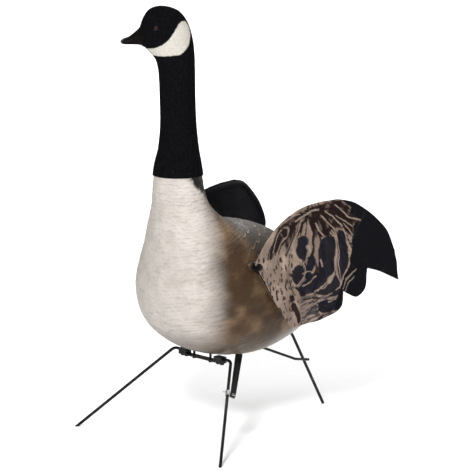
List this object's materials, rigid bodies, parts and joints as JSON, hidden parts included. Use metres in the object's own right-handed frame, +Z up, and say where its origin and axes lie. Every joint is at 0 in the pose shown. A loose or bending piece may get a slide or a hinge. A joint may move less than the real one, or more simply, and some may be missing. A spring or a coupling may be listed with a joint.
{
  "type": "motion wing decoy",
  "caption": "Goose decoy with a hollow body on a three-legged wire stand; fabric wings rise when the rear pull rod is drawn.",
  "frame": {"origin": "on the ground, under the middle of the whole decoy's outline", "axes": "+Z up, the body faces -Y, the body's left side is +X"},
  "size_m": [0.4264, 0.5942, 0.8459],
  "materials": {
    "shell_plastic": "painted, cream breast shading to brown flanks, feather relief",
    "flocked_head": "black flock with a white cheek patch",
    "eye_bead": "gloss",
    "wing_cloth": "printed feather pattern outside, black inside",
    "black_steel": "black powder coat",
    "zinc_steel": "zinc plated",
    "nylon": "black nylon",
    "rubber_strap": "matt"
  },
  "bodies": {
    "stand_and_body": {"left_body_shell": "shell_plastic", "right_body_shell": "shell_plastic", "crossbar": "black_steel", "left_leg_clamp": "black_steel", "right_leg_clamp": "black_steel", "left_front_leg": "black_steel", "right_front_leg": "black_steel", "left_clamp_bolt_1": "black_steel", "right_clamp_bolt_1": "black_steel", "left_clamp_bolt_2": "black_steel", "right_clamp_bolt_2": "black_steel", "left_body_bolt": "black_steel", "right_body_bolt": "black_steel", "saddle_plate": "zinc_steel", "keel_bar": "zinc_steel", "rear_leg_clamp": "black_steel", "rear_leg": "black_steel", "rear_clamp_bolt_1": "black_steel", "rear_clamp_bolt_2": "black_steel", "lever_bracket": "zinc_steel", "bracket_screw_1": "zinc_steel", "bracket_screw_2": "zinc_steel", "lever_pivot_pin": "zinc_steel", "lever_pivot_clip": "zinc_steel", "axle_post": "zinc_steel", "post_screw_1": "zinc_steel", "post_screw_2": "zinc_steel", "left_axle_bush": "nylon", "right_axle_bush": "nylon", "return_strap": "rubber_strap", "strap_clip": "zinc_steel", "strap_rivet": "zinc_steel"},
    "head": {"head_neck": "flocked_head", "left_eye": "eye_bead", "right_eye": "eye_bead"},
    "wings": {"wing_axle": "black_steel", "axle_crank": "zinc_steel", "crank_set_screw": "black_steel", "left_inner_washer": "nylon", "right_inner_washer": "nylon", "left_root_plate": "black_steel", "right_root_plate": "black_steel", "left_wing_fabric": "wing_cloth", "right_wing_fabric": "wing_cloth", "left_leading_wire": "black_steel", "right_leading_wire": "black_steel", "left_root_wire": "black_steel", "right_root_wire": "black_steel", "left_outer_washer": "black_steel", "right_outer_washer": "black_steel", "left_wing_nut": "black_steel", "right_wing_nut": "black_steel"},
    "pull_lever": {"pull_lever": "zinc_steel", "pull_rod": "black_steel"},
    "drive_link": {"drive_link": "zinc_steel"}
  },
  "joints": [
    {"name": "wing_flap", "type": "hinge", "parent": "stand_and_body", "child": "wings", "pos_m": [0, -0.13184, 0.352], "axis": [1, 0, 0], "range_deg": [0, 42], "stiffness_Nm_per_rad": 0.08, "springref_deg": -28.65},
    {"name": "lever_swing", "type": "hinge", "parent": "stand_and_body", "child": "pull_lever", "pos_m": [0.016, -0.07784, 0.188], "axis": [1, 0, 0], "range_deg": [0, 14], "deforming": ["return_strap"]},
    {"name": "link_pivot", "type": "hinge", "parent": "pull_lever", "child": "drive_link", "pos_m": [0.016, -0.13726, 0.19635], "axis": [1, 0, 0], "range_deg": [-14, 0]},
    {"name": "head_swivel", "type": "hinge", "parent": "stand_and_body", "child": "head", "pos_m": [0, -0.20584, 0.522], "axis": [0, 0, 1], "range_deg": [-25, 95]}
  ],
  "couplings": [
    {"joint": "lever_swing", "follows": "wing_flap", "ratio": 0.33333},
    {"joint": "link_pivot", "follows": "wing_flap", "ratio": -0.33333}
  ]
}
